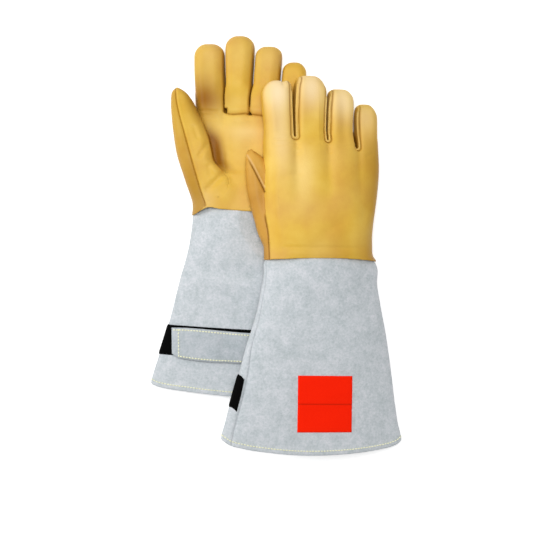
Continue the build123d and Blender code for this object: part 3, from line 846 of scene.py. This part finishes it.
def cuffPanel(side, name, upper):
    # one panel from side seam to side seam: down outside, round the hem's nose, the turned-in hem, up inside
    form = dict(tuck=1.1, tuckWidth=2.4, pucker=0.25, puckerPitch=3.1, puckerAt=0.972, puckerWidth=0.012)
    columns, rows = ((110, 96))
    # each row: how far down towards the hem, a shift along it, and a depth under the outer face
    steps = [n / rows for n in range(rows + 1)]
    profile = [(v, 0.0, 0.0) for v in steps]
    for n in range(1, 8):
        bend = math.pi * n / 8
        profile.append((1.0, -cuffThick * math.sin(bend), cuffThick * (1 - math.cos(bend))))
    profile += [(1.0, hemTurn * n / 8, 2 * cuffThick) for n in range(9)]
    profile += [(1.0, hemTurn + 0.6, 1.6 * cuffThick), (1.0, hemTurn + 0.6, cuffThick)]
    profile += [(v, 0.0, cuffThick) for v in reversed(steps) if v < 1 - (hemTurn + 3) / 190]
    points = []
    for v, shift, depth in profile:
        left, right = seamTurn(side, np.array(cuffTop + v * (cuffHem - cuffTop)))
        start, end = (right, left) if upper else (left, right + 2 * math.pi)
        fine = np.linspace(float(start), float(end), 500)
        yFine = cuffTop + v * (hemY(side, fine) + cuffThick - cuffTop) + shift
        length = lengthsOf(cuffPoint(side, fine, yFine))
        even = np.linspace(0, length[-1], columns + 1)
        t = np.interp(even, length, fine)
        y = np.interp(t, fine, yFine)
        inset = np.full(len(t), depth)
        if depth < 0.1:
            # the outer face turns in at the seams, and puckers a little along the hem's stitches
            edge = np.minimum(even, length[-1] - even)
            inset = inset + form["tuck"] * np.clip(1 - edge / form["tuckWidth"], 0, 1) ** 2
            share = ridge(v - form["puckerAt"], form["puckerWidth"])
            inset = inset + form["pucker"] * np.sin(even / form["puckerPitch"]) * share
        points.append(overCuff(side, t, y, -inset[:, None]))
    piece = ringPiece(f"{side}_{name}_suede", side, np.swapaxes(points, 0, 1), suede)
    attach(piece, f"{side}_glove")
    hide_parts(f"{side}_{name}")


sections = {}


def palmSection(side, y):
    # distances from the middle line of the cuff's palm side, and the turns round the cuff that they lie at
    key = (side, round(float(y) * 2) / 2)
    if key not in sections:
        wrap = 1.0
        ends = (math.pi + wrap, -wrap) if side == "left" else (math.pi - wrap, 2 * math.pi + wrap)
        fine = np.linspace(ends[0], ends[1], 500)
        path = cuffPoint(side, fine, np.full(500, key[1]))
        length = lengthsOf(path)
        sections[key] = (length - np.interp(0.0, path[100:400, 0], length[100:400]), fine)
    return sections[key]


def onPalm(side, run, y, lift):
    # points on the cuff's palm side, each lifted off it
    run, y, lift = np.broadcast_arrays(np.asarray(run, float), np.asarray(y, float), np.asarray(lift, float))
    turns = [np.interp(r, *palmSection(side, v)) for r, v in zip(run.ravel(), y.ravel())]
    return overCuff(side, np.array(turns).reshape(run.shape), y, lift[..., None])


def seamRun(side, y):
    # the side seams as distances from the middle line of the palm side
    lengths, fine = palmSection(side, y)
    left, right = (float(t) for t in seamTurn(side, np.array(y)))
    if side == "left":
        return float(np.interp(-left, -fine, lengths)), float(np.interp(-right, -fine, lengths))
    return float(np.interp(left, fine, lengths)), float(np.interp(right + 2 * math.pi, fine, lengths))


# Straps and tapes: their middle line and width are (run, size), the run measured across the palm side.
strapForm = dict(line=[(-90, -129.2), (-74, -130.4), (-4, -135.8), (80, -140)],
                 width=[(-74, 28.6), (-66, 30.0), (0, 30.8), (80, 30)], thick=2.0, end=-73.4, margin=2.2,
                 corner=3.4, fold=dict(left=-28.0, right=-25.5), lift=1.35, tabLift=2.25)
tapeForms = {
    "left": dict(line=[(-90, -127.4), (-74, -128.3), (-4, -132.3), (80, -136.4)],
                 width=[(-74, 29.5), (80, 29.5)], thick=1.0, lift=0.12, margin=0.6, droop=0.6),
    "right": dict(line=[(-90, -126.2), (-74, -127.0), (80, -134)], width=[(-90, 30.6), (-70, 30.4), (0, 30.0)],
                  thick=1.0, lift=0.12, margin=0.6, droop=4.5),
}
hookForm = dict(line=strapForm["line"], width=[(-74, 23.0), (0, 23.0)], thick=0.8, lift=1.4, start=-67.0,
                end=-32.0)
stitchForm = dict(spacing=2.9, length=2.6, width=1.1)
strapStitches = dict(stitchForm, width=1.3, lift=0.15, start=2.5, end=5.5, side=2.2, across=7.0,
                     reach=(-12.4, 12.6))
hemStitching = dict(above=4.8, lift=0.15)


def softEdge(distance, soft):
    # how much lower a strip's face is this near to its rounded edge
    return soft * (1 - np.sqrt(1 - (1 - np.minimum(distance / soft, 1)) ** 2))


def bandPiece(name, side, form, start, end, lift, material):
    # a flat strip sewn on the palm side: its section has soft edges, its ends follow start and end over y
    columns = 110
    thick = form["thick"]
    soft = min(0.6, thick * 0.45)
    w = np.linspace(-1, 1, 15)
    w, upper = np.concatenate([w, w[::-1]]), np.repeat([True, False], 15)
    middle = along(0.0, form["line"])
    first, last = start(middle), end(middle)
    rings = []
    for s in np.linspace(0, 1, columns + 1):
        roughRun = first * (1 - s) + last * s
        half = along(roughRun, form["width"]) / 2
        y = along(roughRun, form["line"]) + w * half
        run = start(y) * (1 - s) + end(y) * s
        # towards its free end a tape droops and a strap's lower corner is cut off
        y = y - form.get("droop", 0.0) * max(0.0, 1 - (roughRun - first) / 9.0) ** 1.5
        y = y + form.get("corner", 0.0) * max(0.0, 1 - (roughRun - first) / 6.0) ** 1.3 * np.clip(-w, 0, 1)
        nearEnd, nearSide = min(s, 1 - s) * (last - first), (1 - np.abs(w)) * half
        inset = np.maximum(softEdge(nearEnd, soft), softEdge(nearSide, soft))
        rings.append(onPalm(side, run, y, lift(roughRun) + np.where(upper, thick - inset, inset)))
    return ringPiece(name, side, rings, material)


def strapLift(side, run):
    fold = strapForm["fold"][side]
    rise = strapForm["tabLift"] - strapForm["lift"]
    return strapForm["lift"] + rise * (1 - softStep(np.asarray(run, float), fold - 2, fold + 6))


def foldEnds(side):
    # two points on the strap's middle line, either side of where its tab rises off the cuff
    fold = strapForm["fold"][side]
    runs = np.array([fold + 2.5, fold - 2.5])
    ends = onPalm(side, runs, along(fold, strapForm["line"]), strapForm["tabLift"])
    return [place[side] @ Vector(p) for p in ends]


def strapPieces(side):
    levels = np.arange(-160.0, -100.0, 5.0)
    ends = np.array([seamRun(side, y) for y in levels]).T

    def fromSeam(which, shift):
        return lambda y: np.interp(y, levels, ends[which]) + shift

    form = tapeForms[side]
    tape = bandPiece(f"{side}_loop_tape_nylon", side, form, fromSeam(0, form["margin"]),
                     fromSeam(1, -form["margin"]), lambda run: form["lift"], tapeNylon)
    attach(tape, f"{side}_glove")
    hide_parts(f"{side}_loop_tape")
    strap = bandPiece(f"{side}_strap_suede", side, strapForm, lambda y: strapForm["end"],
                      fromSeam(1, -strapForm["margin"]), lambda run: strapLift(side, run), strapSuede)
    start, end = foldEnds(side)
    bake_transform(strap)
    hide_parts(f"{side}_strap", f"{side}_strap_tab")
    hook = bandPiece(f"{side}_hook_tape_nylon", side, hookForm, lambda y: hookForm["start"],
                     lambda y: hookForm["end"], lambda run: hookForm["lift"], tapeNylon)
    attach(hook, f"{side}_strap_tab")
    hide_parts(f"{side}_hook_tape")
    # sewn along both edges and once across, near the free end
    sewn = strapStitches
    farEnd = seamRun(side, along(0.0, strapForm["line"]))[1] - sewn["end"]
    run = np.linspace(strapForm["end"] + sewn["start"], farEnd, 90)
    inset = along(run, strapForm["width"]) / 2 - sewn["side"]
    acrossRun = np.full(14, strapForm["end"] + sewn["across"])
    lines = []
    for runs, aside in ((run, inset), (run[4:], -inset[4:]), (acrossRun, np.linspace(*sewn["reach"], 14))):
        lines.append(onPalm(side, runs, along(runs, strapForm["line"]) + aside,
                            strapLift(side, runs) + strapForm["thick"] + sewn["lift"]))
    stitches = stitchRows(f"{side}_strap_stitches", side, lines, sewn)
    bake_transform(stitches)


def stitchTree():
    # thread stitches laid end to end along sewing lines
    tree = bpy.data.node_groups.new("stitchRow", "GeometryNodeTree")
    face = tree.interface
    for name, kind in (("Geometry", "Geometry"), ("Spacing", "Float"), ("Length", "Float"), ("Width", "Float"),
                       ("Thread", "Material")):
        face.new_socket(name, in_out="INPUT", socket_type="NodeSocket" + kind)
    face.new_socket("Geometry", in_out="OUTPUT", socket_type="NodeSocketGeometry")
    given = addNode(tree, "NodeGroupInput").outputs
    curve = addNode(tree, "GeometryNodeMeshToCurve", {"Mesh": given["Geometry"]})
    spots = addNode(tree, "GeometryNodeCurveToPoints", {"Curve": curve.outputs["Curve"],
                                                        "Length": given["Spacing"]}, mode="LENGTH")
    turn = addNode(tree, "FunctionNodeAlignRotationToVector", {"Vector": spots.outputs["Tangent"]}, axis="X")
    size = addNode(tree, "ShaderNodeCombineXYZ", {"X": given["Length"], "Y": given["Width"],
                                                  "Z": given["Width"]})
    stitch = addNode(tree, "GeometryNodeMeshUVSphere", {"Segments": 6, "Rings": 5, "Radius": 0.5})
    rows = addNode(tree, "GeometryNodeInstanceOnPoints", {
        "Points": spots.outputs["Points"], "Instance": stitch.outputs["Mesh"],
        "Rotation": turn.outputs["Rotation"], "Scale": size.outputs["Vector"]})
    real = addNode(tree, "GeometryNodeRealizeInstances", {"Geometry": rows.outputs["Instances"]})
    smooth = addNode(tree, "GeometryNodeSetShadeSmooth", {"Geometry": real.outputs["Geometry"]})
    painted = addNode(tree, "GeometryNodeSetMaterial", {"Geometry": smooth.outputs["Geometry"],
                                                        "Material": given["Thread"]})
    addNode(tree, "NodeGroupOutput", {"Geometry": painted.outputs["Geometry"]})
    return tree


stitchNodes = stitchTree()


def stitchRows(name, side, lines, form):
    # the stitches along some sewing lines, as one mesh
    points, edges = [], []
    for line in lines:
        first = len(points)
        points += [tuple(p) for p in line]
        edges += [(n, n + 1) for n in range(first, len(points) - 1)]
    mesh = bpy.data.meshes.new(name + "_line")
    mesh.from_pydata(points, edges, [])
    mesh.transform(place[side])
    holder = addObject(name + "_line", mesh)
    modifier = holder.modifiers.new("stitches", "NODES")
    modifier.node_group = stitchNodes
    values = {"Spacing": form["spacing"] * mm, "Length": form["length"] * mm, "Width": form["width"] * mm,
              "Thread": threadPolyester}
    for item in stitchNodes.interface.items_tree:
        if item.in_out == "INPUT" and item.name in values:
            modifier[item.identifier] = values[item.name]
    bpy.context.view_layer.update()
    made = bpy.data.meshes.new_from_object(holder.evaluated_get(bpy.context.evaluated_depsgraph_get()))
    made.name = name
    bpy.data.objects.remove(holder)
    return addObject(name, made)


def hemStitches(side):
    t = np.linspace(0, 2 * math.pi, 400)
    line = overCuff(side, t, hemY(side, t) + hemStitching["above"], hemStitching["lift"])
    piece = stitchRows(f"{side}_hem_stitches", side, [line], stitchForm)
    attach(piece, f"{side}_glove")


def labelPatch():
    # a square of woven cloth low on the right cuff's back, its rim turned under and sewn, its middle line sewn
    form = dict(x=1.6, y=-140.2, width=54.8, height=54.9, thick=0.9, rim=1.0, turn=-0.032, low=0.1, lift=0.15)
    sewn = dict(inset=2.2, width=0.7, depth=0.16, middleWidth=0.8, middleDepth=0.1)
    span = np.linspace(-1, 1, 57)
    u, v = np.meshgrid(span, span, indexing="ij")
    x = form["x"] + u * form["width"] / 2
    aside = v * form["height"] / 2
    y = form["y"] + aside + form["turn"] * (x - form["x"])
    left, right = along(y, cuffs["right"]["left"]), along(y, cuffs["right"]["right"])
    across = (x - (left + right) / 2) / ((right - left) / 2)
    t = np.arccos(np.sign(across) * np.abs(across) ** (squareness / 2))
    fromRim = np.minimum(form["width"] / 2 * (1 - np.abs(u)), form["height"] / 2 * (1 - np.abs(v)))
    height = form["lift"] + form["thick"] * np.sqrt(np.clip(fromRim / form["rim"], 0, 1))
    height = height - sewn["depth"] * ridge(fromRim - sewn["inset"], sewn["width"])
    height = height - sewn["middleDepth"] * ridge(aside, sewn["middleWidth"])
    top, under = overCuff("right", t, y, height[..., None]), overCuff("right", t, y, form["low"])
    line = 0.6 * ridge(aside, 0.7) * (np.abs(u) < 0.97)
    marks = {"line": np.concatenate([line, 0 * line], 1).ravel()}
    rings = np.concatenate([top, under[:, ::-1]], 1)
    piece = ringPiece("right_label_cloth", "right", rings, labelCloth, marks)
    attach(piece, "right_glove")
    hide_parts("right_label")


for side in ("left", "right"):
    cuffPanel(side, "cuff_palm_panel" if side == "left" else "cuff_back_panel", True)
    cuffPanel(side, "cuff_back_panel" if side == "left" else "cuff_palm_panel", False)
    strapPieces(side)
    hemStitches(side)
    print(side, "cuff done")
labelPatch()

# The camera looks straight down, and one millimetre at table height is one unit of the view.
cameraHeight, viewWidth = 1.15, 0.533
camera = addObject("camera", bpy.data.cameras.new("camera"))
camera.location = (-0.0074, -0.0251, cameraHeight)
camera.data.lens = camera.data.sensor_width * cameraHeight / viewWidth
bpy.context.scene.camera = camera

floorHalf, floorGlow = 3, 0.35
floorMesh = bpy.data.meshes.new("floor")
floorMesh.from_pydata([(-floorHalf, -floorHalf, 0), (floorHalf, -floorHalf, 0), (floorHalf, floorHalf, 0),
                       (-floorHalf, floorHalf, 0)], [], [(0, 1, 2, 3)])
floor = addObject("floor", floorMesh)
floorPaint, tree, shader = newMaterial("whiteFloorPaint", {
    "Base Color": hexColour("#FFFFFF"), "Roughness": 0.9, "Specular IOR Level": 0.0,
    "Emission Color": hexColour("#FFFFFF")})
# the floor glows a little, but only for rays that show it: the glow doesn't light the gloves
paths = addNode(tree, "ShaderNodeLightPath").outputs
shown = paths["Is Camera Ray"]
for kind in ("Is Glossy Ray", "Is Transmission Ray"):
    shown = addNode(tree, "ShaderNodeMath", {0: shown, 1: paths[kind]}, operation="ADD").outputs[0]
glow = addNode(tree, "ShaderNodeMath", {0: shown, 1: floorGlow}, operation="MULTIPLY")
tree.links.new(glow.outputs[0], shader.inputs["Emission Strength"])
floorMesh.materials.append(floorPaint)

lamps = {
    "overheadSoftbox": dict(spot=(-0.02, 0.2, 1.6), size=0.6, power=13.4),
    "leftSoftbox": dict(spot=(-1.1, 0.35, 0.75), size=0.45, power=6.5),
}
for name, form in lamps.items():
    lamp = addObject(name, bpy.data.lights.new(name, "AREA"))
    lamp.data.size = form["size"]
    lamp.data.energy = form["power"]
    lamp.location = form["spot"]
    lamp.rotation_euler = (-Vector(form["spot"])).to_track_quat("-Z", "Y").to_euler()

world = bpy.data.worlds.new("studio")
bpy.context.scene.world = world
world.use_nodes = True
background = world.node_tree.nodes["Background"]
background.inputs["Color"].default_value = (1, 1, 1, 1)
background.inputs["Strength"].default_value = 0.4
bpy.context.scene.view_settings.view_transform = "Standard"
